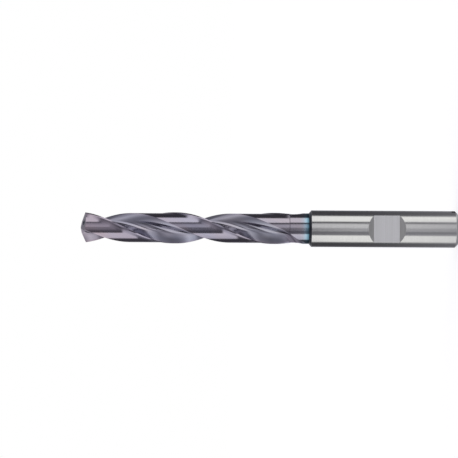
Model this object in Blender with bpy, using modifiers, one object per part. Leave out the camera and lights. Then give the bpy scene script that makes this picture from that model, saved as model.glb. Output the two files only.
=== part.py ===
"""Solid carbide twist drill, 8.5 mm, with two coolant holes and a side-lock shank.

Metres, +Z up. The origin is the centre of the shank's end face, the drill's axis is +Z,
with the point at the top, and the clamping flat of the shank faces -Y. Angles about the
axis are counted from +X, counterclockwise as seen from the point, which is also the way
that the drill turns when it cuts.
"""

import math

import bmesh
import bpy
import numpy as np
from mathutils import Matrix, Vector

NAME = "solid_carbide_drill"

# Lengths along the axis
OVERALL_LENGTH = 0.103  # shank end to chisel edge
SHANK_LENGTH = 0.040
SHOULDER_LENGTH = 0.0007  # cone between shank and neck
FLUTE_LENGTH = 0.0612  # chisel edge to the end of the run-out
CLEARANCE_LENGTH = 0.057  # chisel edge to where the relieved body meets the neck
CLEARANCE_STEP = 0.00015  # length of the small step up to the neck
RUNOUT_LENGTH = 0.0065  # where the grinding wheel leaves the flute

# Diameters
DRILL_DIAMETER = 0.0085
NECK_DIAMETER = 0.00835
SHANK_DIAMETER = 0.010

# Section of the fluted body
HELIX_LEAD = 0.0544  # right-hand, 30 degrees on the 10 mm blank
LAND_ANGLE = math.radians(82)
WEB_THICKNESS = 0.00255
WEB_ANGLE = math.radians(44.5)  # from the lip's corner round to where the web is thinnest
FLOOR_RADIUS = 0.00177  # of the flute's floor
RAKE_SPAN = math.radians(32.5)  # turn of the floor, from the thinnest web to the rake face
HEEL_SPAN = math.radians(41.5)  # and from there to the flute's heel side
LIFT_TURN = math.radians(43)  # from the thinnest web round to the way that the wheel lifts
BODY_CLEARANCE = 0.00027  # how far the land lies below the margin
MARGIN_WIDTH = 0.00045
CORNER_ANGLE = math.radians(-16)  # where the first lip ends at its corner

# Four-facet point
POINT_ANGLE = math.radians(140)
PRIMARY_RELIEF = math.radians(7)
SECONDARY_RELIEF = math.radians(12)
PRIMARY_WIDTH = 0.0015  # from the lip back to the second facet
CHISEL_LENGTH = 0.0005  # what the gashes leave of the chisel edge
GASH_TURN = math.radians(38)  # thinned lip against main lip, seen from the point
GASH_SLOPE = math.radians(52)  # fall of the gash's floor

# Coolant holes and the slot that feeds them
COOLANT_HOLE_DIAMETER = 0.0013
COOLANT_CIRCLE_DIAMETER = 0.0048
COOLANT_LAG = math.radians(44)  # behind the lip's corner
COOLANT_SLOT_WIDTH = 0.002
COOLANT_SLOT_DEPTH = 0.0018

# Shank
SHANK_CHAMFER = 0.0008
FLAT_HEIGHT = 0.0084  # clamping flat to the far side of the shank
FLAT_LENGTH = 0.007
FLAT_POSITION = 0.0196  # shank end to the middle of the flat
FLAT_RAMP = math.radians(45)

# Fineness of the faceted surfaces, and how far construction runs on past them
ROUND_STEPS = 96
HOLE_STEPS = 10
BODY_PITCH = 0.00136
POINT_PITCH = 0.0005
POINT_ZONE = 0.003  # below the chisel edge, where the sections are closer
HOLE_PITCH = 0.0021
RUNOUT_PITCH = 0.0005
MARGIN_STEPS = 2
FACET_STEPS = 4
LAND_STEPS = 12
FLUTE_STEPS = 17
CURVE_SAMPLES = 3000
SHARP_EDGE = math.radians(24)
ARC_RUN_ON = 1.25
CLOSED_FLUTE = math.radians(4)  # arc that the flute's points keep where it ends
FLUTE_SPREAD = math.radians(25000)  # how much wider they spread for each metre below that
WIDEST_FLUTE = math.radians(80)  # and how wide at most
NOSE_SHARE = 0.93  # of the neck's radius, where the shoulder cone ends inside the neck

# Looks of the coated body and of the bare shank
COATING_COLOUR = (0.38, 0.35, 0.42)
COATING_ROUGHNESS = 0.25
GROUND_COLOUR = (0.55, 0.55, 0.54)
GROUND_ROUGHNESS = 0.25

# Sizes that follow from those above
RADIUS = DRILL_DIAMETER / 2
NECK_RADIUS = NECK_DIAMETER / 2
SHANK_RADIUS = SHANK_DIAMETER / 2
LAND_RADIUS = RADIUS - BODY_CLEARANCE
WEB_RADIUS = WEB_THICKNESS / 2
TWIST = 2 * math.pi / HELIX_LEAD  # radians for each metre of height
LIP_FALL = 1 / math.tan(POINT_ANGLE / 2)  # fall of the lip for each metre outwards
LIP_LENGTH = math.sqrt(RADIUS**2 - WEB_RADIUS**2)
LIP_CORNER_ANGLE = math.asin(WEB_RADIUS / RADIUS)  # the corner's angle against its lip
LIP_TOP = OVERALL_LENGTH + math.tan(PRIMARY_RELIEF) * WEB_RADIUS
CORNER_HEIGHT = LIP_TOP - LIP_FALL * LIP_LENGTH
LIP_ANGLE = CORNER_ANGLE - LIP_CORNER_ANGLE
HEEL_ANGLE = LIP_CORNER_ANGLE + math.pi - LAND_ANGLE
MARGIN_END = MARGIN_WIDTH / RADIUS  # angles behind the leading edge
FACET_END = MARGIN_END + math.acos(LAND_RADIUS / RADIUS)
CLEARANCE_END = OVERALL_LENGTH - CLEARANCE_LENGTH
FLUTE_END = OVERALL_LENGTH - FLUTE_LENGTH
SPARE = SHANK_RADIUS / 5  # how far cutters reach past the surface
# The body goes on down into the shank, past whatever ends lowest
BODY_FOOT = min(SHANK_LENGTH, FLUTE_END, CLEARANCE_END - CLEARANCE_STEP) - SPARE / 2
CUTTER_SIZE = 4 * RADIUS


def rotated(points, angle):
    """Rows of x and y, turned about the axis."""
    cosine, sine = math.cos(angle), math.sin(angle)
    return points @ np.array([[cosine, sine], [-sine, cosine]])


def turn_at(height):
    """How far the helix has turned the section at this height, from the lip's own frame."""
    return LIP_ANGLE + TWIST * (height - CORNER_HEIGHT)


def twisted(outline, height):
    """A ring of points at this height, from an outline that is given in the lip's frame."""
    return [(x, y, height) for x, y in rotated(outline, turn_at(height))]


def polar(radius, angle):
    return radius * np.array([math.cos(angle), math.sin(angle)])


def arc_through(start, direction, end):
    """An arc that leaves a point in a direction, goes through another, and runs on."""
    left = np.array([-direction[1], direction[0]])
    chord = end - start
    bend = 2 * math.atan2(chord @ left, chord @ direction)
    radius = math.hypot(*chord) / (2 * math.sin(bend / 2))
    turn = np.linspace(0, ARC_RUN_ON * bend, CURVE_SAMPLES)[:, None]
    return start + radius * (np.sin(turn) * direction + (1 - np.cos(turn)) * left)


def flute_curve():
    """The flute's section in the lip's frame, from outside the lip's corner to past the heel.

    Its floor is an arc that is deepest at the thinnest web. The rake face and the convex
    heel side are arcs that carry on from its two ends, through the corner and the heel.
    """
    thinnest = LIP_CORNER_ANGLE + WEB_ANGLE
    outwards, along = polar(1, thinnest), polar(1, thinnest + math.pi / 2)
    centre = (WEB_RADIUS + FLOOR_RADIUS) * outwards
    turn = np.linspace(-RAKE_SPAN, HEEL_SPAN, CURVE_SAMPLES)[:, None]
    floor = centre + FLOOR_RADIUS * (np.sin(turn) * along - np.cos(turn) * outwards)
    to_rake = -math.cos(RAKE_SPAN) * along + math.sin(RAKE_SPAN) * outwards
    to_heel = math.cos(HEEL_SPAN) * along + math.sin(HEEL_SPAN) * outwards
    rake = arc_through(floor[0], to_rake, polar(RADIUS, LIP_CORNER_ANGLE))
    heel_side = arc_through(floor[-1], to_heel, polar(LAND_RADIUS, HEEL_ANGLE))
    curve = np.vstack([rake[::-1], floor[1:-1], heel_side])

    steps = np.hypot(*np.diff(curve, axis=0).T)
    length = np.concatenate([[0], np.cumsum(steps)])
    even = np.linspace(0, length[-1], CURVE_SAMPLES)
    x = np.interp(even, length, curve[:, 0])
    y = np.interp(even, length, curve[:, 1])
    return np.column_stack([x, y])


FLUTE_CURVE = flute_curve()
LIFT_DIRECTION = polar(1, LIP_CORNER_ANGLE + WEB_ANGLE + LIFT_TURN)


def full_lift():
    """How far the wheel moves out before the whole flute is clear of the neck."""
    along = FLUTE_CURVE @ LIFT_DIRECTION
    spare = along**2 + NECK_RADIUS**2 - np.sum(FLUTE_CURVE**2, axis=1)
    return float(np.max(np.sqrt(np.maximum(spare, 0)) - along))


def lift_at(height):
    """How far the wheel has moved out at this height, on the arc that it leaves behind."""
    gone = max(0, FLUTE_END + RUNOUT_LENGTH - height)
    full = full_lift()
    wheel_radius = (RUNOUT_LENGTH**2 + full**2) / (2 * full)
    return wheel_radius - math.sqrt(wheel_radius**2 - min(gone, RUNOUT_LENGTH) ** 2)


def crossing(distances, deepest, step, target):
    """Where along the curve, from its deepest point outwards, it reaches a radius or ends."""
    index, last = deepest, len(distances) - 1
    while distances[index] < target and 0 < index < last:
        index += step
    inner, outer = distances[index - step], distances[index]
    return min(max(index - step * (outer - target) / (outer - inner), 0), last)


def land_radius(behind, relieved):
    """Radius of the land at an angle behind its leading edge.

    Behind the margin a flat facet falls to the relieved land, and meets it at a tangent.
    """
    if not relieved:
        return NECK_RADIUS
    if behind <= MARGIN_END:
        return RADIUS
    return LAND_RADIUS / math.cos(max(FACET_END - behind, 0))


def body_section(height):
    """Outline of the body in the lip's frame: land, flute, and the same again opposite."""
    relieved = height >= CLEARANCE_END
    lead_radius = RADIUS if relieved else NECK_RADIUS
    heel_radius = LAND_RADIUS if relieved else NECK_RADIUS
    curve = FLUTE_CURVE + lift_at(height) * LIFT_DIRECTION
    distances = np.hypot(curve[:, 0], curve[:, 1])
    deepest = int(np.argmin(distances))
    if height > FLUTE_END and distances[deepest] < heel_radius:
        lead = crossing(distances, deepest, -1, lead_radius)
        heel = crossing(distances, deepest, 1, heel_radius)
        places = np.linspace(lead, heel, FLUTE_STEPS + 1)
        samples = np.arange(len(curve))
        x = np.interp(places, samples, curve[:, 0])
        y = np.interp(places, samples, curve[:, 1])
        flute = np.column_stack([x, y])
    else:
        middle = math.atan2(curve[deepest, 1], curve[deepest, 0])
        spread = FLUTE_SPREAD * max(0, FLUTE_END - height)
        span = min(CLOSED_FLUTE + spread, WIDEST_FLUTE)
        closed = middle + span * np.linspace(-0.5, 0.5, FLUTE_STEPS + 1)
        flute = heel_radius * np.column_stack([np.cos(closed), np.sin(closed)])

    lead_angle = math.atan2(flute[0, 1], flute[0, 0])
    heel_angle = math.atan2(flute[-1, 1], flute[-1, 0]) - math.pi
    behind = np.concatenate([
        np.linspace(0, MARGIN_END, MARGIN_STEPS + 1)[1:],
        np.linspace(MARGIN_END, FACET_END, FACET_STEPS + 1)[1:],
        np.linspace(FACET_END, lead_angle - heel_angle, LAND_STEPS + 1)[1:-1],
    ])[::-1]
    radii = np.array([land_radius(angle, relieved) for angle in behind])
    angles = lead_angle - behind
    land = np.column_stack([radii * np.cos(angles), radii * np.sin(angles)])
    half = np.vstack([land, flute])
    return np.vstack([half, -half])


def spaced(top, bottom, pitch):
    """Heights from top down to bottom, no further apart than the pitch, without the last."""
    count = max(1, math.ceil((top - bottom) / pitch))
    return [top + (bottom - top) * i / count for i in range(count)]


def body_heights():
    """Heights of the body's sections, closer together at the point and at the run-out."""
    top = OVERALL_LENGTH + SPARE
    zones = [
        (top, BODY_FOOT, BODY_PITCH),
        (top, OVERALL_LENGTH - POINT_ZONE, POINT_PITCH),
        (FLUTE_END + RUNOUT_LENGTH, BODY_FOOT, RUNOUT_PITCH),
        (FLUTE_END + RUNOUT_PITCH, FLUTE_END, RUNOUT_PITCH / 4),
        (CLEARANCE_END, CLEARANCE_END - CLEARANCE_STEP, CLEARANCE_STEP),
    ]
    edges = sorted({edge for upper, lower, pitch in zones for edge in (upper, lower)})[::-1]
    heights = []
    for high, low in zip(edges, edges[1:]):
        pitches = [pitch for upper, lower, pitch in zones if lower <= low and high <= upper]
        heights += spaced(high, low, min(pitches))
    return heights + edges[-1:]


def new_collection(name):
    collection = bpy.data.collections.new(name)
    bpy.context.scene.collection.children.link(collection)
    return collection


def new_material(name, colour, roughness):
    material = bpy.data.materials.new(name)
    material.use_nodes = True
    shader = material.node_tree.nodes["Principled BSDF"]
    shader.inputs["Base Color"].default_value = (*colour, 1)
    shader.inputs["Metallic"].default_value = 1
    shader.inputs["Roughness"].default_value = roughness
    return material


def new_object(name, mesh, collection, material):
    mesh.materials.append(material)
    obj = bpy.data.objects.new(name, mesh)
    collection.objects.link(obj)
    return obj


def loft(name, rings, collection, material):
    """A closed solid through rings that have as many points each, from top to bottom."""
    mesh = bpy.data.meshes.new(name)
    form = bmesh.new()
    levels = [[form.verts.new(point) for point in ring] for ring in rings]
    count = len(levels[0])
    for upper, lower in zip(levels, levels[1:]):
        for i in range(count):
            j = (i + 1) % count
            form.faces.new([upper[i], lower[i], lower[j], upper[j]])
    form.faces.new(levels[0])
    form.faces.new(reversed(levels[-1]))
    form.to_mesh(mesh)
    form.free()
    return new_object(name, mesh, collection, material)


def turned(name, profile, collection, material):
    """A solid of revolution from radius and height pairs that run down its outer side."""
    mesh = bpy.data.meshes.new(name)
    points = [(radius, 0, height) for radius, height in profile]
    mesh.from_pydata(points, [(i, i + 1) for i in range(len(points) - 1)], [])
    obj = new_object(name, mesh, collection, material)
    screw = obj.modifiers.new("turn", "SCREW")
    screw.steps = ROUND_STEPS
    screw.render_steps = ROUND_STEPS
    screw.use_merge_vertices = True
    screw.merge_threshold = 1e-6
    return obj


def block(name, corner, axes, sizes, collection, material):
    """A box with one corner placed, and its edges along three square axes."""
    mesh = bpy.data.meshes.new(name)
    form = bmesh.new()
    bmesh.ops.create_cube(form, size=1)
    bmesh.ops.translate(form, verts=form.verts, vec=(0.5, 0.5, 0.5))
    bmesh.ops.scale(form, verts=form.verts, vec=sizes)
    form.to_mesh(mesh)
    form.free()
    obj = new_object(name, mesh, collection, material)
    rotation = Matrix([axis.normalized() for axis in axes]).transposed()
    obj.matrix_world = Matrix.Translation(corner) @ rotation.to_4x4()
    return obj


def above_plane(name, point, normal, collection, material):
    """A large box that fills the space above a plane."""
    up = normal.normalized()
    side = Vector((0, 1, 0)).cross(up).normalized()
    across = up.cross(side)
    corner = point - (side + across) * CUTTER_SIZE / 2
    sizes = (CUTTER_SIZE,) * 3
    return block(name, corner, (side, across, up), sizes, collection, material)


def fluted_body(collection, material):
    rings = [twisted(body_section(height), height) for height in body_heights()]
    return loft("fluted_body", rings, collection, material)


def shank_blank(collection, material):
    """Shank with its end chamfer, and the shoulder cone, which runs on inside the neck."""
    slope = SHOULDER_LENGTH / (SHANK_RADIUS - NECK_RADIUS)
    nose_radius = NOSE_SHARE * NECK_RADIUS
    nose_height = SHANK_LENGTH + slope * (SHANK_RADIUS - nose_radius)
    profile = [
        (0, nose_height),
        (nose_radius, nose_height),
        (SHANK_RADIUS, SHANK_LENGTH),
        (SHANK_RADIUS, SHANK_CHAMFER),
        (SHANK_RADIUS - SHANK_CHAMFER, 0),
        (0, 0),
    ]
    return turned("shank_blank", profile, collection, material)


def clamping_flat(collection, material):
    """Cutter for the side-lock flat: a trapezoid along the shank, drawn out across it."""
    floor = SHANK_RADIUS - FLAT_HEIGHT
    outside = -SHANK_RADIUS - SPARE
    ramp = (floor - outside) / math.tan(FLAT_RAMP)
    half = FLAT_LENGTH / 2
    mesh = bpy.data.meshes.new("clamping_flat")
    form = bmesh.new()
    outline = [
        (FLAT_POSITION - half, floor),
        (FLAT_POSITION + half, floor),
        (FLAT_POSITION + half + ramp, outside),
        (FLAT_POSITION - half - ramp, outside),
    ]
    start = -SHANK_RADIUS - SPARE
    face = form.faces.new([form.verts.new((start, y, z)) for z, y in outline])
    drawn = bmesh.ops.extrude_face_region(form, geom=[face])
    moved = [item for item in drawn["geom"] if isinstance(item, bmesh.types.BMVert)]
    bmesh.ops.translate(form, verts=moved, vec=(-2 * start, 0, 0))
    bmesh.ops.recalc_face_normals(form, faces=form.faces)
    form.to_mesh(mesh)
    form.free()
    return new_object("clamping_flat", mesh, collection, material)


def hole_angle():
    """The first coolant hole's place in the lip's frame."""
    return LIP_CORNER_ANGLE - COOLANT_LAG


def coolant_hole(number, collection, material):
    """Cutter for a coolant hole, which follows the helix from end to end."""
    steps = np.arange(HOLE_STEPS) * 2 * math.pi / HOLE_STEPS
    circle = COOLANT_HOLE_DIAMETER / 2 * np.column_stack([np.cos(steps), np.sin(steps)])
    outline = circle + np.array([COOLANT_CIRCLE_DIAMETER / 2, 0])
    outline = rotated(outline, hole_angle() + number * math.pi)
    heights = spaced(OVERALL_LENGTH + SPARE, -SPARE, HOLE_PITCH) + [-SPARE]
    rings = [twisted(outline, height) for height in heights]
    return loft(f"coolant_hole_{number + 1}", rings, collection, material)


def coolant_slot(collection, material):
    """Cutter for the slot across the shank's end, which joins the two coolant holes."""
    angle = turn_at(0) + hole_angle()
    along = Vector((math.cos(angle), math.sin(angle), 0))
    across = Vector((-along.y, along.x, 0))
    up = Vector((0, 0, 1))
    length = 2 * (SHANK_RADIUS + SPARE)
    corner = -along * length / 2 - across * COOLANT_SLOT_WIDTH / 2 - up * SPARE
    sizes = (length, COOLANT_SLOT_WIDTH, COOLANT_SLOT_DEPTH + SPARE)
    axes = (along, across, up)
    return block("coolant_slot", corner, axes, sizes, collection, material)


def point_cutters(number, collection, material):
    """Cutters for one lip: its two relief facets, and the gash that thins the web."""
    turn = LIP_ANGLE + number * math.pi
    outwards = Vector((math.cos(turn), math.sin(turn), 0))
    ahead = Vector((-outwards.y, outwards.x, 0))
    up = Vector((0, 0, 1))

    def facet(name, relief, behind, height):
        point = ahead * (WEB_RADIUS - behind) + up * height
        normal = outwards * LIP_FALL - ahead * math.tan(relief) + up
        return above_plane(f"{name}_{number + 1}", point, normal, collection, material)

    primary = facet("primary_facet", PRIMARY_RELIEF, 0, LIP_TOP)
    second_height = LIP_TOP - math.tan(PRIMARY_RELIEF) * PRIMARY_WIDTH
    second = facet("second_facet", SECONDARY_RELIEF, PRIMARY_WIDTH, second_height)

    chisel = (outwards * math.tan(PRIMARY_RELIEF) + ahead * LIP_FALL).normalized()
    start = chisel * CHISEL_LENGTH / 2 + up * OVERALL_LENGTH
    away = outwards * math.cos(GASH_TURN) + ahead * math.sin(GASH_TURN)
    floor = away * math.cos(GASH_SLOPE) - up * math.sin(GASH_SLOPE)
    side = Vector((-away.y, away.x, 0))
    corner = start - floor * CUTTER_SIZE / 2
    axes = (floor, side, floor.cross(side))
    sizes = (CUTTER_SIZE,) * 3
    gash = block(f"gash_{number + 1}", corner, axes, sizes, collection, material)
    return [primary, second, gash]


def combine(obj, other, operation):
    boolean = obj.modifiers.new(other.name, "BOOLEAN")
    boolean.operation = operation
    boolean.solver = "EXACT"
    boolean.material_mode = "TRANSFER"
    boolean.object = other
    other.hide_render = True
    other.display_type = "WIRE"


def shade(obj):
    """The finished solid as one mesh, smooth along its round surfaces."""
    bpy.context.view_layer.update()
    graph = bpy.context.evaluated_depsgraph_get()
    mesh = bpy.data.meshes.new_from_object(obj.evaluated_get(graph))
    obj.modifiers.clear()
    obj.data = mesh
    mesh.shade_smooth()
    mesh.set_sharp_from_angle(angle=SHARP_EDGE)


def main():
    for obj in list(bpy.data.objects):
        bpy.data.objects.remove(obj)
    drill_parts = new_collection(NAME)
    cutters = new_collection("construction")
    coating = new_material("coated_carbide", COATING_COLOUR, COATING_ROUGHNESS)
    ground = new_material("ground_carbide", GROUND_COLOUR, GROUND_ROUGHNESS)

    drill = fluted_body(drill_parts, coating)
    drill.name = NAME
    drill.data.name = NAME
    combine(drill, shank_blank(cutters, ground), "UNION")
    combine(drill, clamping_flat(cutters, ground), "DIFFERENCE")
    combine(drill, coolant_slot(cutters, ground), "DIFFERENCE")
    for number in range(2):
        combine(drill, coolant_hole(number, cutters, ground), "DIFFERENCE")
        for cutter in point_cutters(number, cutters, coating):
            combine(drill, cutter, "DIFFERENCE")
    shade(drill)
    for cutter in list(cutters.objects):
        bpy.data.objects.remove(cutter)
    bpy.data.collections.remove(cutters)


main()
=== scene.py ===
"""The looks of the solid carbide drill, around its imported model.

Metres, +Z up. The drill stands on its shank end at the origin, with its point at the top
and its clamping flat facing -Y, where the camera is. The camera lies on its side, so that
the drill runs across the picture with its point on the left.
"""

import math

import bmesh
import bpy
import numpy as np
from mathutils import Matrix, Vector


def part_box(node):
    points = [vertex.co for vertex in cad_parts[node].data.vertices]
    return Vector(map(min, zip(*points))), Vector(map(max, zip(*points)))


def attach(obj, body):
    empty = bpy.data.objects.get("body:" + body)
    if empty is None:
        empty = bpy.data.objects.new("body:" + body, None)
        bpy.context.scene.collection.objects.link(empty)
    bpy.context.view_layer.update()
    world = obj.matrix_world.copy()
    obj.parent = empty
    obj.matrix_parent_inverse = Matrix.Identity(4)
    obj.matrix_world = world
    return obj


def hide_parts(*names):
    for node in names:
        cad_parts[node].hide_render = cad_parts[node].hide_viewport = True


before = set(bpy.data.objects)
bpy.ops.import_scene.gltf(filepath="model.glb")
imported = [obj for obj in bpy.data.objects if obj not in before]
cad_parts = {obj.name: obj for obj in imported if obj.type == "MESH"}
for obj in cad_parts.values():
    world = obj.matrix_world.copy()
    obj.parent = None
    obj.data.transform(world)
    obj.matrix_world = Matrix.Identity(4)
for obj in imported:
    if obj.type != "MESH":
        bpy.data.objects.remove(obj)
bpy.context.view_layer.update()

NODE = "solid_carbide_drill"
NODE_LOW, NODE_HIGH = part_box(NODE)

# Lengths along the axis
OVERALL_LENGTH = NODE_HIGH[2] - NODE_LOW[2]
SHANK_LENGTH = 0.040
SHOULDER_LENGTH = 0.0007
FLUTE_LENGTH = 0.0612
CLEARANCE_LENGTH = 0.057
CLEARANCE_STEP = 0.00015
RUNOUT_LENGTH = 0.0065

# Diameters
DRILL_DIAMETER = 0.0085
NECK_DIAMETER = 0.00835
SHANK_DIAMETER = NODE_HIGH[0] - NODE_LOW[0]

# Section of the fluted body
HELIX_LEAD = 0.0544
LAND_ANGLE = math.radians(82)
WEB_THICKNESS = 0.00255
WEB_ANGLE = math.radians(44.5)
FLOOR_RADIUS = 0.00177
RAKE_SPAN = math.radians(32.5)
HEEL_SPAN = math.radians(41.5)
LIFT_TURN = math.radians(43)
BODY_CLEARANCE = 0.00027
MARGIN_WIDTH = 0.00045
CORNER_ANGLE = math.radians(-16)

# Four-facet point
POINT_ANGLE = math.radians(140)
PRIMARY_RELIEF = math.radians(7)
SECONDARY_RELIEF = math.radians(12)
PRIMARY_WIDTH = 0.0015
CHISEL_LENGTH = 0.0005
GASH_TURN = math.radians(38)
GASH_SLOPE = math.radians(52)

# Coolant holes and the slot that feeds them
COOLANT_HOLE_DIAMETER = 0.0013
COOLANT_CIRCLE_DIAMETER = 0.0048
COOLANT_LAG = math.radians(44)
COOLANT_SLOT_WIDTH = 0.002
COOLANT_SLOT_DEPTH = 0.0018

# Shank
SHANK_CHAMFER = 0.0008
FLAT_HEIGHT = 0.0084
FLAT_LENGTH = 0.007
FLAT_POSITION = 0.0196
FLAT_RAMP = math.radians(45)

# Fineness of the surfaces
ROUND_STEPS = 288
HOLE_STEPS = 24
BODY_PITCH = 0.0003
POINT_PITCH = 0.0001
POINT_ZONE = 0.003
HOLE_PITCH = 0.0006
RUNOUT_PITCH = 0.00015
MARGIN_STEPS = 4
FACET_STEPS = 8
LAND_STEPS = 24
FLUTE_STEPS = 48
CURVE_SAMPLES = 6000
MERGE_DISTANCE = 1e-6

# Edges that stay crisp: those with a large turn, and at the point also those with a small
# one, between facets that face upwards at least this much
SHARP_EDGE = math.radians(24)
POINT_EDGE = math.radians(2)
UPWARDS = 0.5

# Helpers for the solids
ARC_RUN_ON = 1.25  # how far a flute's arc goes, as a share of the way to its end point
CLOSED_FLUTE = math.radians(4)  # width of the flute where it has closed in the neck
FLUTE_SPREAD = math.radians(25000)  # and how much wider per metre below that
NOSE_SHARE = 0.93  # how far the shoulder's cone runs on inwards, as a share of the neck

# Sizes that follow from those above
RADIUS = DRILL_DIAMETER / 2
NECK_RADIUS = NECK_DIAMETER / 2
SHANK_RADIUS = SHANK_DIAMETER / 2
LAND_RADIUS = RADIUS - BODY_CLEARANCE
WEB_RADIUS = WEB_THICKNESS / 2
TWIST = 2 * math.pi / HELIX_LEAD
LIP_FALL = 1 / math.tan(POINT_ANGLE / 2)
LIP_LENGTH = math.sqrt(RADIUS**2 - WEB_RADIUS**2)
LIP_CORNER_ANGLE = math.asin(WEB_RADIUS / RADIUS)
LIP_TOP = OVERALL_LENGTH + math.tan(PRIMARY_RELIEF) * WEB_RADIUS
CORNER_HEIGHT = LIP_TOP - LIP_FALL * LIP_LENGTH
LIP_ANGLE = CORNER_ANGLE - LIP_CORNER_ANGLE
HEEL_ANGLE = LIP_CORNER_ANGLE + math.pi - LAND_ANGLE
MARGIN_END = MARGIN_WIDTH / RADIUS
FACET_END = MARGIN_END + math.acos(LAND_RADIUS / RADIUS)
CLEARANCE_END = OVERALL_LENGTH - CLEARANCE_LENGTH
FLUTE_END = OVERALL_LENGTH - FLUTE_LENGTH
SPARE = SHANK_RADIUS / 5
CUTTER_SIZE = 4 * RADIUS

# The picture's frame, in its own pixels, and where the drill lies in it
PICTURE_SIZE = 458
PIXELS_PER_METRE = 3657
POINT_COLUMN = 80.8
AXIS_ROW = 228.15
AXIS_TILT = math.radians(0.34)
CAMERA_DISTANCE = 0.49
SENSOR_WIDTH = 36

# Light around the drill: rings of panels, each ring at an elevation above the level of the
# camera. Within a ring, each pair is an angle about the drill's axis, from the camera
# towards the picture's top, and the level of the light that comes from there. Both angles
# are in degrees. Upright surfaces reflect the middle rings to the camera: the shank those
# at -10 to -2.2, the neck the one at -2.2, and the lands those from -2.2 to 5.
LIGHT_RINGS = [
    (-60, [(-180, 0.45), (-70, 0.45), (0, 0.3), (70, 0.45), (180, 0.45)]),
    (-40, [
        (-180, 0.35), (-118, 0.35), (-104, 0.55), (-72, 1.05), (-50, 0.5), (-30, 0.3),
        (0, 0.25), (50, 0.4), (80, 0.95), (110, 0.95), (180, 0.35),
    ]),
    (-20, [
        (-180, 0.3), (-125, 0.3), (-104, 0.35), (-94, 0.9), (-72, 1.2), (-48, 0.7),
        (-24, 0.55), (6, 0.65), (36, 0.35), (60, 0.75), (80, 1.0), (100, 0.6), (180, 0.3),
    ]),
    (-10, [
        (-180, 0.35), (-112, 0.3), (-92, 0.8), (-48, 0.9), (-36, 0.5), (-24, 0.3),
        (-8, 0.35), (18, 0.5), (36, 0.4), (50, 0.95), (78, 1.35), (90, 0.6), (108, 0.3),
        (180, 0.35),
    ]),
    (-3.2, [
        (-180, 0.3), (-130, 0.07), (-97, 0.07), (-88, 1.45), (-45, 1.45), (-40, 0.35),
        (-20, 0.35), (-14, 0.8), (2, 0.8), (7, 1.1), (30, 1.1), (37, 0.12), (44, 0.12),
        (49, 1.4), (83, 1.4), (92, 0.07), (130, 0.07), (180, 0.3),
    ]),
    (-2.2, [
        (-180, 0.3), (-130, 0.07), (-97, 0.07), (-88, 0.8), (-45, 1.25), (-40, 0.12),
        (-20, 0.08), (0, 0.08), (12, 0.65), (26, 0.65), (38, 0.1), (44, 0.1),
        (48, 1.25), (84, 1.25), (92, 0.07), (130, 0.07), (180, 0.3),
    ]),
    (5, [
        (-180, 0.3), (-130, 0.07), (-100, 0.12), (-90, 1.2), (-45, 1.2), (-40, 0.1),
        (-22, 0.2), (-14, 0.4), (2, 0.45), (7, 0.8), (32, 0.5), (38, 0.2), (43, 0.3),
        (48, 1.3), (83, 1.2), (92, 0.07), (130, 0.07), (180, 0.3),
    ]),
    (12, [
        (-180, 0.3), (-120, 0.35), (-95, 0.35), (-66, 0.85), (-48, 0.8), (-38, 0.25),
        (-12, 0.35), (6, 0.55), (36, 0.25), (50, 0.85), (76, 1.25), (88, 0.55), (130, 0.2),
        (180, 0.3),
    ]),
    (20, [
        (-180, 0.4), (-130, 0.5), (-112, 0.9), (-90, 1.25), (-66, 0.6), (-48, 0.3),
        (-34, 0.12), (0, 0.3), (36, 0.25), (56, 0.7), (76, 1.0), (90, 0.2), (130, 0.25),
        (180, 0.4),
    ]),
    (32, [
        (-180, 0.3), (-130, 0.25), (-96, 1.15), (-60, 0.65), (-20, 0.35), (6, 0.4),
        (48, 0.95), (76, 0.6), (130, 0.45), (180, 0.3),
    ]),
    (50, [(-180, 0.3), (-90, 0.45), (0, 0.3), (90, 0.45), (180, 0.3)]),
]
FLOOR_COLOUR = 0.9
FLOOR_GLOW = 0.62
FLOOR_REACH = 30

# Colours, as red, green and blue
WHITE = (1, 1, 1)
BLACK = (0, 0, 0)
SHANK_COLOUR = (0.55, 0.55, 0.545)
# The flat and its ramps are the shank's carbide painted lighter, the flat far more: painted
# light for how each catches the light
FLAT_PAINTED_LIGHT = (0.98, 0.98, 0.96)
RAMP_PAINTED_LIGHT = (0.64, 0.64, 0.62)
# The shoulder's cone is painted near-black: painted shade for the dark surroundings it
# reflects
SHOULDER_PAINTED_SHADE = (0.05, 0.06, 0.07)
COATING_DARK = (0.345, 0.315, 0.375)
COATING_LIGHT = (0.415, 0.38, 0.435)
COOL_PATCH = (0.95, 0.985, 1.04)
WARM_PATCH = (1.03, 0.985, 0.98)
DRIFT = [(0.0, (0.98, 1.02, 1.0)), (0.5, (0.98, 1.0, 1.01)), (1.0, (1.05, 0.99, 0.97))]

# The coating's tint in the flutes, and the painted shade deep in their run-out: the depths
# below the lands where each is full and where it ends, as shares of the shank's radius, and
# the heights between which the run-out's painted shade fades, as shares of the run-out's
# length
FLUTE_TINT = (0.97, 1.03, 1.02)
FLUTE_DEPTHS = (0.08, 0.01)
RUNOUT_PAINTED_SHADE = (0.42, 0.38, 0.42)
RUNOUT_SHADE_DEPTHS = (0.05, 0.005)
RUNOUT_SHADE_FADES = (0.7, 1.2)

# The coating's blue end next to the shoulder
BLUE_LENGTH = 0.004
BLUE_COLOURS = [
    (0.0, (0.03, 0.05, 0.07)),
    (0.16, (0.05, 0.09, 0.12)),
    (0.24, (0.12, 0.24, 0.31)),
    (0.38, (0.31, 0.44, 0.54)),
    (0.6, (0.35, 0.40, 0.47)),
]
BLUE_FADES = (0.4, 0.8)

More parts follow.
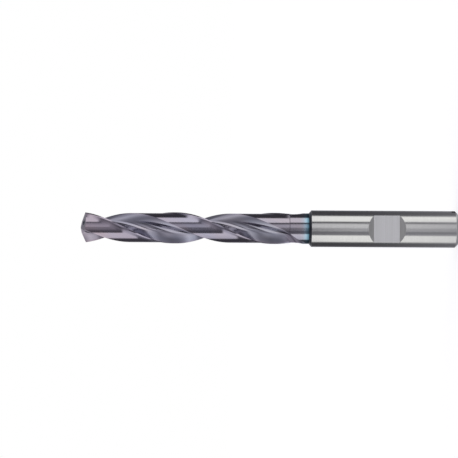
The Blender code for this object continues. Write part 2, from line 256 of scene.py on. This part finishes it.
# Roughness, and the fine lines that grinding leaves: their scale, contrast and depth
SHANK_ROUGHNESS = 0.14
FLAT_ROUGHNESS = 0.42
COATED_ROUGHNESS = 0.13
ROUGHNESS_SPREAD = 0.12
SHANK_LINES = 40000
SHANK_CONTRAST = 0.05
FLAT_LINES = 7000
FLAT_CONTRAST = 0.13
COATED_LINES = 9000
COATED_SOFT_LINES = 900
COATED_PATCHES = 160
LINE_DEPTH = 0.00002


def rotated(points, angle):
    """Rows of x and y, turned about the axis."""
    cosine, sine = math.cos(angle), math.sin(angle)
    return points @ np.array([[cosine, sine], [-sine, cosine]])


def turn_at(height):
    """How far the helix has turned the section at this height, from the lip's own frame."""
    return LIP_ANGLE + TWIST * (height - CORNER_HEIGHT)


def twisted(outline, height):
    """A ring of points at this height, from an outline that is given in the lip's frame."""
    return [(x, y, height) for x, y in rotated(outline, turn_at(height))]


def polar(radius, angle):
    """The point at this distance and angle from the axis."""
    return radius * np.array([math.cos(angle), math.sin(angle)])


def arc_through(start, direction, end):
    """An arc that leaves a point in a direction, goes through another, and runs on."""
    left = np.array([-direction[1], direction[0]])
    chord = end - start
    bend = 2 * math.atan2(chord @ left, chord @ direction)
    radius = math.hypot(*chord) / (2 * math.sin(bend / 2))
    turn = np.linspace(0, ARC_RUN_ON * bend, CURVE_SAMPLES)[:, None]
    return start + radius * (np.sin(turn) * direction + (1 - np.cos(turn)) * left)


def flute_curve():
    """The flute's section in the lip's frame, from outside the lip's corner to past the heel.

    Its floor is an arc that is deepest at the thinnest web. The rake face and the convex
    heel side are arcs that carry on from its two ends, through the corner and the heel.
    """
    thinnest = LIP_CORNER_ANGLE + WEB_ANGLE
    outwards, along = polar(1, thinnest), polar(1, thinnest + math.pi / 2)
    centre = (WEB_RADIUS + FLOOR_RADIUS) * outwards
    turn = np.linspace(-RAKE_SPAN, HEEL_SPAN, CURVE_SAMPLES)[:, None]
    floor = centre + FLOOR_RADIUS * (np.sin(turn) * along - np.cos(turn) * outwards)
    to_rake = -math.cos(RAKE_SPAN) * along + math.sin(RAKE_SPAN) * outwards
    to_heel = math.cos(HEEL_SPAN) * along + math.sin(HEEL_SPAN) * outwards
    rake = arc_through(floor[0], to_rake, polar(RADIUS, LIP_CORNER_ANGLE))
    heel_side = arc_through(floor[-1], to_heel, polar(LAND_RADIUS, HEEL_ANGLE))
    curve = np.vstack([rake[::-1], floor[1:-1], heel_side])

    steps = np.hypot(*np.diff(curve, axis=0).T)
    length = np.concatenate([[0], np.cumsum(steps)])
    even = np.linspace(0, length[-1], CURVE_SAMPLES)
    x = np.interp(even, length, curve[:, 0])
    y = np.interp(even, length, curve[:, 1])
    return np.column_stack([x, y])


FLUTE_CURVE = flute_curve()
LIFT_DIRECTION = polar(1, LIP_CORNER_ANGLE + WEB_ANGLE + LIFT_TURN)


def full_lift():
    """How far the wheel moves out before the whole flute is clear of the neck."""
    along = FLUTE_CURVE @ LIFT_DIRECTION
    spare = along**2 + NECK_RADIUS**2 - np.sum(FLUTE_CURVE**2, axis=1)
    return float(np.max(np.sqrt(np.maximum(spare, 0)) - along))


def lift_at(height):
    """How far the wheel has moved out at this height, on the arc that it leaves behind."""
    gone = max(0, FLUTE_END + RUNOUT_LENGTH - height)
    full = full_lift()
    wheel_radius = (RUNOUT_LENGTH**2 + full**2) / (2 * full)
    return wheel_radius - math.sqrt(wheel_radius**2 - min(gone, RUNOUT_LENGTH) ** 2)


def crossing(distances, deepest, step, target):
    """Where along the curve, from its deepest point outwards, it first reaches a radius."""
    index = deepest
    while distances[index] < target:
        index += step
    inner, outer = distances[index - step], distances[index]
    return index - step * (outer - target) / (outer - inner)


def land_radius(behind, relieved):
    """Radius of the land at an angle behind its leading edge.

    Behind the margin a flat facet falls to the relieved land, and meets it at a tangent.
    """
    if not relieved:
        return NECK_RADIUS
    if behind <= MARGIN_END:
        return RADIUS
    return LAND_RADIUS / math.cos(max(FACET_END - behind, 0))


def body_section(height):
    """Outline of the body in the lip's frame: land, flute, and the same again opposite."""
    relieved = height >= CLEARANCE_END
    lead_radius = RADIUS if relieved else NECK_RADIUS
    heel_radius = LAND_RADIUS if relieved else NECK_RADIUS
    curve = FLUTE_CURVE + lift_at(height) * LIFT_DIRECTION
    distances = np.hypot(curve[:, 0], curve[:, 1])
    deepest = int(np.argmin(distances))
    if height > FLUTE_END:
        lead = crossing(distances, deepest, -1, lead_radius)
        heel = crossing(distances, deepest, 1, heel_radius)
        places = np.linspace(lead, heel, FLUTE_STEPS + 1)
        samples = np.arange(len(curve))
        x = np.interp(places, samples, curve[:, 0])
        y = np.interp(places, samples, curve[:, 1])
        flute = np.column_stack([x, y])
    else:
        middle = math.atan2(curve[deepest, 1], curve[deepest, 0])
        span = CLOSED_FLUTE + FLUTE_SPREAD * (FLUTE_END - height)
        closed = middle + span * np.linspace(-0.5, 0.5, FLUTE_STEPS + 1)
        flute = NECK_RADIUS * np.column_stack([np.cos(closed), np.sin(closed)])

    lead_angle = math.atan2(flute[0, 1], flute[0, 0])
    heel_angle = math.atan2(flute[-1, 1], flute[-1, 0]) - math.pi
    behind = np.concatenate([
        np.linspace(0, MARGIN_END, MARGIN_STEPS + 1)[1:],
        np.linspace(MARGIN_END, FACET_END, FACET_STEPS + 1)[1:],
        np.linspace(FACET_END, lead_angle - heel_angle, LAND_STEPS + 1)[1:-1],
    ])[::-1]
    radii = np.array([land_radius(angle, relieved) for angle in behind])
    angles = lead_angle - behind
    land = np.column_stack([radii * np.cos(angles), radii * np.sin(angles)])
    half = np.vstack([land, flute])
    return np.vstack([half, -half])


def spaced(top, bottom, pitch):
    """Heights from top down to bottom, no further apart than the pitch, without the last."""
    count = max(1, math.ceil((top - bottom) / pitch))
    return [top + (bottom - top) * i / count for i in range(count)]


def body_heights():
    """Heights of the body's sections, closer together at the point and at the run-out."""
    stretches = [
        (OVERALL_LENGTH - POINT_ZONE, POINT_PITCH),
        (FLUTE_END + RUNOUT_LENGTH, BODY_PITCH),
        (CLEARANCE_END, RUNOUT_PITCH),
        (CLEARANCE_END - CLEARANCE_STEP, CLEARANCE_STEP),
        (FLUTE_END + RUNOUT_PITCH, RUNOUT_PITCH),
        (FLUTE_END, RUNOUT_PITCH / 4),
        (SHANK_LENGTH - SPARE / 2, RUNOUT_PITCH),
    ]
    top = OVERALL_LENGTH + SPARE
    heights = []
    for bottom, pitch in stretches:
        heights += spaced(top, bottom, pitch)
        top = bottom
    return heights + [top]


def new_object(name, mesh, material):
    """A mesh, in one material, put into the scene."""
    mesh.materials.append(material)
    obj = bpy.data.objects.new(name, mesh)
    bpy.context.scene.collection.objects.link(obj)
    return obj


def loft(name, rings, material):
    """A closed solid through rings that have as many points each, from top to bottom."""
    mesh = bpy.data.meshes.new(name)
    form = bmesh.new()
    levels = [[form.verts.new(point) for point in ring] for ring in rings]
    count = len(levels[0])
    for upper, lower in zip(levels, levels[1:]):
        for i in range(count):
            j = (i + 1) % count
            form.faces.new([upper[i], lower[i], lower[j], upper[j]])
    form.faces.new(levels[0])
    form.faces.new(reversed(levels[-1]))
    form.to_mesh(mesh)
    form.free()
    return new_object(name, mesh, material)


def turned(name, profile, material):
    """A solid of revolution from radius and height pairs that run down its outer side."""
    mesh = bpy.data.meshes.new(name)
    points = [(radius, 0, height) for radius, height in profile]
    mesh.from_pydata(points, [(i, i + 1) for i in range(len(points) - 1)], [])
    obj = new_object(name, mesh, material)
    screw = obj.modifiers.new("turn", "SCREW")
    screw.steps = ROUND_STEPS
    screw.render_steps = ROUND_STEPS
    screw.use_merge_vertices = True
    screw.merge_threshold = MERGE_DISTANCE
    return obj


def block(name, corner, axes, sizes, material):
    """A box with one corner placed, and its edges along three square axes."""
    mesh = bpy.data.meshes.new(name)
    form = bmesh.new()
    bmesh.ops.create_cube(form, size=1)
    bmesh.ops.translate(form, verts=form.verts, vec=(0.5, 0.5, 0.5))
    bmesh.ops.scale(form, verts=form.verts, vec=sizes)
    form.to_mesh(mesh)
    form.free()
    obj = new_object(name, mesh, material)
    rotation = Matrix([axis.normalized() for axis in axes]).transposed()
    obj.matrix_world = Matrix.Translation(corner) @ rotation.to_4x4()
    return obj


def above_plane(name, point, normal, material):
    """A large box that fills the space above a plane."""
    up = normal.normalized()
    side = Vector((0, 1, 0)).cross(up).normalized()
    across = up.cross(side)
    corner = point - (side + across) * CUTTER_SIZE / 2
    return block(name, corner, (side, across, up), (CUTTER_SIZE,) * 3, material)


def shank_blank(material):
    """Shank with its end chamfer, and the shoulder cone, which runs on inside the neck."""
    slope = SHOULDER_LENGTH / (SHANK_RADIUS - NECK_RADIUS)
    nose_radius = NOSE_SHARE * NECK_RADIUS
    nose_height = SHANK_LENGTH + slope * (SHANK_RADIUS - nose_radius)
    profile = [
        (0, nose_height),
        (nose_radius, nose_height),
        (SHANK_RADIUS, SHANK_LENGTH),
        (SHANK_RADIUS, SHANK_CHAMFER),
        (SHANK_RADIUS - SHANK_CHAMFER, 0),
        (0, 0),
    ]
    return turned("shank_blank", profile, material)


def clamping_flat(material, ramp_material):
    """Cutter for the side-lock flat: a trapezoid along the shank, drawn out across it."""
    floor = SHANK_RADIUS - FLAT_HEIGHT
    outside = -SHANK_RADIUS - SPARE
    ramp = (floor - outside) / math.tan(FLAT_RAMP)
    half = FLAT_LENGTH / 2
    mesh = bpy.data.meshes.new("clamping_flat")
    form = bmesh.new()
    outline = [
        (FLAT_POSITION - half, floor),
        (FLAT_POSITION + half, floor),
        (FLAT_POSITION + half + ramp, outside),
        (FLAT_POSITION - half - ramp, outside),
    ]
    face = form.faces.new([form.verts.new((outside, y, z)) for z, y in outline])
    drawn = bmesh.ops.extrude_face_region(form, geom=[face])
    moved = [item for item in drawn["geom"] if isinstance(item, bmesh.types.BMVert)]
    bmesh.ops.translate(form, verts=moved, vec=(-2 * outside, 0, 0))
    bmesh.ops.recalc_face_normals(form, faces=form.faces)
    form.to_mesh(mesh)
    form.free()
    cutter = new_object("clamping_flat", mesh, material)
    mesh.materials.append(ramp_material)
    for face in mesh.polygons:
        face.material_index = int(abs(face.normal.y) < math.cos(FLAT_RAMP / 2))
    return cutter


def hole_angle():
    """The first coolant hole's place in the lip's frame."""
    return LIP_CORNER_ANGLE - COOLANT_LAG


def coolant_hole(number, material):
    """Cutter for a coolant hole, which follows the helix from end to end."""
    steps = np.arange(HOLE_STEPS) * 2 * math.pi / HOLE_STEPS
    circle = COOLANT_HOLE_DIAMETER / 2 * np.column_stack([np.cos(steps), np.sin(steps)])
    outline = circle + np.array([COOLANT_CIRCLE_DIAMETER / 2, 0])
    outline = rotated(outline, hole_angle() + number * math.pi)
    heights = spaced(OVERALL_LENGTH + SPARE, -SPARE, HOLE_PITCH) + [-SPARE]
    rings = [twisted(outline, height) for height in heights]
    return loft(f"coolant_hole_{number + 1}", rings, material)


def coolant_slot(material):
    """Cutter for the slot across the shank's end, which joins the two coolant holes."""
    angle = turn_at(0) + hole_angle()
    along = Vector((math.cos(angle), math.sin(angle), 0))
    across = Vector((-along.y, along.x, 0))
    up = Vector((0, 0, 1))
    length = 2 * (SHANK_RADIUS + SPARE)
    corner = -along * length / 2 - across * COOLANT_SLOT_WIDTH / 2 - up * SPARE
    sizes = (length, COOLANT_SLOT_WIDTH, COOLANT_SLOT_DEPTH + SPARE)
    return block("coolant_slot", corner, (along, across, up), sizes, material)


def point_cutters(number, material):
    """Cutters for one lip: its two relief facets, and the gash that thins the web."""
    turn = LIP_ANGLE + number * math.pi
    outwards = Vector((math.cos(turn), math.sin(turn), 0))
    ahead = Vector((-outwards.y, outwards.x, 0))
    up = Vector((0, 0, 1))

    def facet(name, relief, behind, height):
        point = ahead * (WEB_RADIUS - behind) + up * height
        normal = outwards * LIP_FALL - ahead * math.tan(relief) + up
        return above_plane(f"{name}_{number + 1}", point, normal, material)

    primary = facet("primary_facet", PRIMARY_RELIEF, 0, LIP_TOP)
    second_height = LIP_TOP - math.tan(PRIMARY_RELIEF) * PRIMARY_WIDTH
    second = facet("second_facet", SECONDARY_RELIEF, PRIMARY_WIDTH, second_height)

    chisel = (outwards * math.tan(PRIMARY_RELIEF) + ahead * LIP_FALL).normalized()
    start = chisel * CHISEL_LENGTH / 2 + up * OVERALL_LENGTH
    away = outwards * math.cos(GASH_TURN) + ahead * math.sin(GASH_TURN)
    floor = away * math.cos(GASH_SLOPE) - up * math.sin(GASH_SLOPE)
    side = Vector((-away.y, away.x, 0))
    corner = start - floor * CUTTER_SIZE / 2
    axes = (floor, side, floor.cross(side))
    gash = block(f"gash_{number + 1}", corner, axes, (CUTTER_SIZE,) * 3, material)
    return [primary, second, gash]


class Nodes:
    """Short ways to add and join the nodes of one node tree."""

    def __init__(self, tree):
        self.tree = tree

    def add(self, kind, settings=None, **inputs):
        node = self.tree.nodes.new(kind)
        for name, value in (settings or {}).items():
            setattr(node, name, value)
        for name, value in inputs.items():
            self.put(node.inputs[name.replace("_", " ")], value)
        return node

    def put(self, socket, value):
        if isinstance(value, bpy.types.NodeSocket):
            self.tree.links.new(value, socket)
        else:
            socket.default_value = value

    def math(self, operation, first, second=0.0):
        node = self.tree.nodes.new("ShaderNodeMath")
        node.operation = operation
        self.put(node.inputs[0], first)
        self.put(node.inputs[1], second)
        return node.outputs[0]

    def ramp(self, factor, stops):
        node = self.tree.nodes.new("ShaderNodeValToRGB")
        self.put(node.inputs[0], factor)
        elements = node.color_ramp.elements
        while len(elements) > 1:
            elements.remove(elements[-1])
        for i, (place, colour) in enumerate(stops):
            element = elements[0] if i == 0 else elements.new(place)
            element.position = place
            element.color = (*colour, 1)
        return node.outputs[0]


def new_material(name):
    """An empty metal, with short ways to its nodes, and its shader."""
    material = bpy.data.materials.new(name)
    material.use_nodes = True
    nodes = Nodes(material.node_tree)
    shader = material.node_tree.nodes["Principled BSDF"]
    shader.inputs["Metallic"].default_value = 1
    return material, nodes, shader


def streaks(nodes, position, scale, stretch):
    """Fine lines from noise that is drawn out along some directions."""
    spread = nodes.add("ShaderNodeMapping", Vector=position, Scale=stretch)
    return nodes.add(
        "ShaderNodeTexNoise",
        Vector=spread.outputs[0],
        Scale=scale,
        Detail=3.0,
        Roughness=0.6,
    ).outputs[0]


def height_of(nodes, place):
    """Height above the shank's end."""
    return nodes.add("ShaderNodeSeparateXYZ", Vector=place).outputs[2]


def untwisted(nodes):
    """Object coordinates with the helix turned back, so that lines follow the flutes."""
    place = nodes.add("ShaderNodeTexCoord").outputs["Object"]
    angle = nodes.math("MULTIPLY", height_of(nodes, place), -TWIST)
    rotate = nodes.add(
        "ShaderNodeVectorRotate",
        {"rotation_type": "Z_AXIS"},
        Vector=place,
        Angle=angle,
    )
    return rotate.outputs[0]


def mixed(nodes, factor, first, second):
    """A colour between two, by a factor from 0 to 1."""
    node = nodes.add("ShaderNodeMix", {"data_type": "RGBA"})
    nodes.put(node.inputs[0], factor)
    nodes.put(node.inputs[6], first)
    nodes.put(node.inputs[7], second)
    return node.outputs[2]


def multiplied(nodes, first, second):
    """The product of two colours."""
    node = nodes.add("ShaderNodeMix", {"data_type": "RGBA", "blend_type": "MULTIPLY"})
    nodes.put(node.inputs[0], 1.0)
    nodes.put(node.inputs[6], first)
    nodes.put(node.inputs[7], second)
    return node.outputs[2]


def share_between(nodes, value, start, end, curve="LINEAR"):
    """How far a value has come from one end to another, from 0 to 1."""
    return nodes.add(
        "ShaderNodeMapRange",
        {"interpolation_type": curve},
        Value=value,
        From_Min=start,
        From_Max=end,
    ).outputs[0]


def axis_distance(nodes, place):
    """Distance from the axis, as a share of the shank's radius."""
    x, y, _ = nodes.add("ShaderNodeSeparateXYZ", Vector=place).outputs
    square = nodes.math("ADD", nodes.math("MULTIPLY", x, x), nodes.math("MULTIPLY", y, y))
    return nodes.math("DIVIDE", nodes.math("SQRT", square), SHANK_RADIUS)


def blend(nodes, lines, soft, share):
    """Fine lines and softer ones together, in which the fine ones have this share."""
    fine = nodes.math("MULTIPLY", lines, share)
    return nodes.math("ADD", fine, nodes.math("MULTIPLY", soft, 1 - share))


def finish_surface(nodes, shader, lines, roughness, relief, strength):
    """Roughness that varies with the fine lines, and a slight relief."""
    spread = nodes.math("MULTIPLY", nodes.math("SUBTRACT", lines, 0.5), ROUGHNESS_SPREAD)
    nodes.put(shader.inputs["Roughness"], nodes.math("ADD", spread, roughness))
    bump = nodes.add("ShaderNodeBump", Height=relief, Strength=strength, Distance=LINE_DEPTH)
    nodes.put(shader.inputs["Normal"], bump.outputs[0])


def ground_carbide(name, colour, roughness, contrast, line_scale):
    """Bare carbide with fine lines square to the axis, and painted shade on the shoulder's
    cone.
    """
    material, nodes, shader = new_material(name)
    place = nodes.add("ShaderNodeTexCoord").outputs["Object"]
    lines = streaks(nodes, place, line_scale, (0.004, 0.004, 1))
    soft = streaks(nodes, place, line_scale / 9, (0.05, 0.05, 1))
    dark = tuple(value * (1 - contrast) for value in colour)
    light = tuple(min(1, value * (1 + contrast)) for value in colour)
    tint = nodes.ramp(blend(nodes, lines, soft, 0.6), [(0.35, dark), (0.65, light)])
    # Painted shade: above this height the shoulder's cone is near-black
    cone_start = SHANK_LENGTH + SHOULDER_LENGTH / 20
    above = nodes.math("GREATER_THAN", height_of(nodes, place), cone_start)
    nodes.put(shader.inputs["Base Color"], mixed(nodes, above, tint, (*SHOULDER_PAINTED_SHADE, 1)))
    finish_surface(nodes, shader, lines, roughness, lines, 0.1)
    return material


def tint_stops(surface, depths, tint):
    """Stops for a tint that is full at one depth below a surface and gone at another."""
    full, gone = depths
    return [(surface - full, tint), (surface - gone, WHITE)]


def coating_tints_and_runout_shade(nodes, place, height):
    """Cooler tint in the flutes, a drift along the drill, and painted shade in the run-out.
    """
    distance = axis_distance(nodes, place)
    lands = LAND_RADIUS / SHANK_RADIUS
    neck = NECK_RADIUS / SHANK_RADIUS
    flutes = nodes.ramp(distance, tint_stops(lands, FLUTE_DEPTHS, FLUTE_TINT))
    along = share_between(nodes, height, SHANK_LENGTH, OVERALL_LENGTH)
    tint = multiplied(nodes, flutes, nodes.ramp(along, DRIFT))

    below_step = nodes.math("LESS_THAN", height, CLEARANCE_END)
    surface = nodes.math("MULTIPLY", below_step, neck - lands)
    depth = nodes.math("SUBTRACT", distance, surface)
    # Painted shade: darker deep in the flutes where they run out, fading higher up
    painted_runout_shade = nodes.ramp(depth, tint_stops(lands, RUNOUT_SHADE_DEPTHS, RUNOUT_PAINTED_SHADE))
    fades = [FLUTE_END + RUNOUT_LENGTH * share for share in RUNOUT_SHADE_FADES]
    above = share_between(nodes, height, *fades)
    return multiplied(nodes, tint, mixed(nodes, above, painted_runout_shade, (*WHITE, 1)))


def coated_carbide():
    """The hard coating: violet-grey with lines along the flutes, blue at the shoulder, and
    painted shade in the run-out.
    """
    material, nodes, shader = new_material("coated_carbide")
    place = untwisted(nodes)
    height = height_of(nodes, place)
    lines = streaks(nodes, place, COATED_LINES, (1, 1, 0.01))
    soft = streaks(nodes, place, COATED_SOFT_LINES, (1, 1, 0.05))
    both = blend(nodes, lines, soft, 0.5)
    violet = nodes.ramp(both, [(0.3, COATING_DARK), (0.7, COATING_LIGHT)])
    patches = streaks(nodes, place, COATED_PATCHES, (1, 1, 0.35))
    tinge = nodes.ramp(patches, [(0.38, COOL_PATCH), (0.62, WARM_PATCH)])
    violet = multiplied(nodes, violet, tinge)
    # Coating tints, and painted shade where the flutes run out
    violet = multiplied(nodes, violet, coating_tints_and_runout_shade(nodes, place, height))

    span = share_between(nodes, height, SHANK_LENGTH, SHANK_LENGTH + BLUE_LENGTH)
    blue = nodes.ramp(span, BLUE_COLOURS)
    share = nodes.ramp(span, list(zip(BLUE_FADES, (WHITE, BLACK))))
    nodes.put(shader.inputs["Base Color"], mixed(nodes, share, violet, blue))
    finish_surface(nodes, shader, lines, COATED_ROUGHNESS, both, 0.08)
    return material


def combine(obj, other, operation):
    """Joins another solid to this one, or cuts it out, and keeps both materials."""
    boolean = obj.modifiers.new(other.name, "BOOLEAN")
    boolean.operation = operation
    boolean.solver = "EXACT"
    boolean.material_mode = "TRANSFER"
    boolean.object = other


def sharpen_point(mesh):
    """Keeps the edges between the point's facets crisp, which meet at small angles."""
    form = bmesh.new()
    form.from_mesh(mesh)
    for edge in form.edges:
        at_point = all(vert.co.z > OVERALL_LENGTH - POINT_ZONE for vert in edge.verts)
        upright = all(face.normal.z > UPWARDS for face in edge.link_faces)
        if at_point and upright and edge.calc_face_angle(0) > POINT_EDGE:
            edge.smooth = False
    form.to_mesh(mesh)
    form.free()


def make_drill():
    """The whole drill, in one piece: the body is lofted, and the rest joined on or cut."""
    coating = coated_carbide()
    shank_lines = (SHANK_ROUGHNESS, SHANK_CONTRAST, SHANK_LINES)
    flat_lines = (FLAT_ROUGHNESS, FLAT_CONTRAST, FLAT_LINES)
    shank = ground_carbide("ground_shank", SHANK_COLOUR, *shank_lines)
    # The flat and its ramps: the shank's carbide, painted lighter as painted light
    flat = ground_carbide("ground_flat_painted_light", FLAT_PAINTED_LIGHT, *flat_lines)
    ramp = ground_carbide("ground_ramp_painted_light", RAMP_PAINTED_LIGHT, *flat_lines)

    rings = [twisted(body_section(height), height) for height in body_heights()]
    drill = loft("drill", rings, coating)
    others = [(shank_blank(shank), "UNION")]
    others += [(clamping_flat(flat, ramp), "DIFFERENCE"), (coolant_slot(shank), "DIFFERENCE")]
    for number in range(2):
        others.append((coolant_hole(number, shank), "DIFFERENCE"))
        others += [(cutter, "DIFFERENCE") for cutter in point_cutters(number, coating)]
    for other, operation in others:
        combine(drill, other, operation)

    bpy.context.view_layer.update()
    graph = bpy.context.evaluated_depsgraph_get()
    mesh = bpy.data.meshes.new_from_object(drill.evaluated_get(graph))
    drill.modifiers.clear()
    drill.data = mesh
    for other, _ in others:
        bpy.data.objects.remove(other)
    mesh.shade_smooth()
    mesh.set_sharp_from_angle(angle=SHARP_EDGE)
    sharpen_point(mesh)
    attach(drill, "root")
    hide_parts(NODE)


def make_floor():
    """A pale floor, which glows a little to the camera, so that it looks white."""
    material, nodes, shader = new_material("floor")
    shader.inputs["Metallic"].default_value = 0
    shader.inputs["Roughness"].default_value = 1
    shader.inputs["Specular IOR Level"].default_value = 0
    shader.inputs["Base Color"].default_value = (FLOOR_COLOUR,) * 3 + (1,)
    shader.inputs["Emission Color"].default_value = (*WHITE, 1)
    seen = nodes.add("ShaderNodeLightPath").outputs["Is Camera Ray"]
    nodes.put(shader.inputs["Emission Strength"], nodes.math("MULTIPLY", seen, FLOOR_GLOW))
    mesh = bpy.data.meshes.new("floor")
    form = bmesh.new()
    bmesh.ops.create_grid(form, x_segments=1, y_segments=1, size=FLOOR_REACH)
    form.to_mesh(mesh)
    form.free()
    floor = new_object("floor", mesh, material)
    floor.visible_glossy = False


def panel(level):
    """A panel's colour: dim ones are a little blue, bright ones a little warm."""
    return (level, level * (0.99 + 0.005 * level), level * (1.12 - 0.1 * level))


def make_world():
    """Light from all round, in rings of brighter and dimmer panels. The camera sees white."""
    world = bpy.data.worlds.new("studio")
    bpy.context.scene.world = world
    world.use_nodes = True
    world.node_tree.nodes.clear()
    nodes = Nodes(world.node_tree)
    direction = nodes.add("ShaderNodeTexCoord").outputs["Generated"]
    x, y, z = nodes.add("ShaderNodeSeparateXYZ", Vector=direction).outputs
    angle = nodes.math("ARCTAN2", x, nodes.math("MULTIPLY", y, -1.0))
    place = nodes.math("ADD", nodes.math("DIVIDE", angle, 2 * math.pi), 0.5)
    elevation = nodes.math("MULTIPLY", nodes.math("ARCSINE", z), 180 / math.pi)
    rings = []
    for height, bands in LIGHT_RINGS:
        stops = [(0.5 + turn / 360, panel(level)) for turn, level in bands]
        rings.append((height, nodes.ramp(place, stops)))
    below, light = rings[0]
    for height, ring in rings[1:]:
        share = share_between(nodes, elevation, below, height, "SMOOTHSTEP")
        light = mixed(nodes, share, light, ring)
        below = height
    seen = nodes.add("ShaderNodeLightPath").outputs["Is Camera Ray"]
    colour = mixed(nodes, seen, light, (*WHITE, 1))
    shade = nodes.add("ShaderNodeBackground", Color=colour, Strength=1.0)
    output = nodes.add("ShaderNodeOutputWorld")
    nodes.put(output.inputs[0], shade.outputs[0])


def make_camera():
    """Level, on its side, square to the drill's axis, as far off as a long lens stands."""
    middle_column = PICTURE_SIZE / 2
    height = OVERALL_LENGTH - (middle_column - POINT_COLUMN) / PIXELS_PER_METRE
    drop = (middle_column - AXIS_ROW) / PIXELS_PER_METRE
    data = bpy.data.cameras.new("camera")
    data.sensor_width = SENSOR_WIDTH
    data.lens = SENSOR_WIDTH * CAMERA_DISTANCE * PIXELS_PER_METRE / PICTURE_SIZE
    camera = bpy.data.objects.new("camera", data)
    bpy.context.scene.collection.objects.link(camera)
    right = Vector((0, 0, -1))
    up = Vector((1, 0, 0))
    back = Vector((0, -1, 0))
    turn = Matrix((right, up, back)).transposed().to_4x4()
    tilt = Matrix.Rotation(AXIS_TILT, 4, "Z")
    camera.matrix_world = Matrix.Translation((-drop, -CAMERA_DISTANCE, height)) @ turn @ tilt
    bpy.context.scene.camera = camera


bpy.context.scene.view_settings.view_transform = "Standard"
make_drill()
make_floor()
make_world()
make_camera()
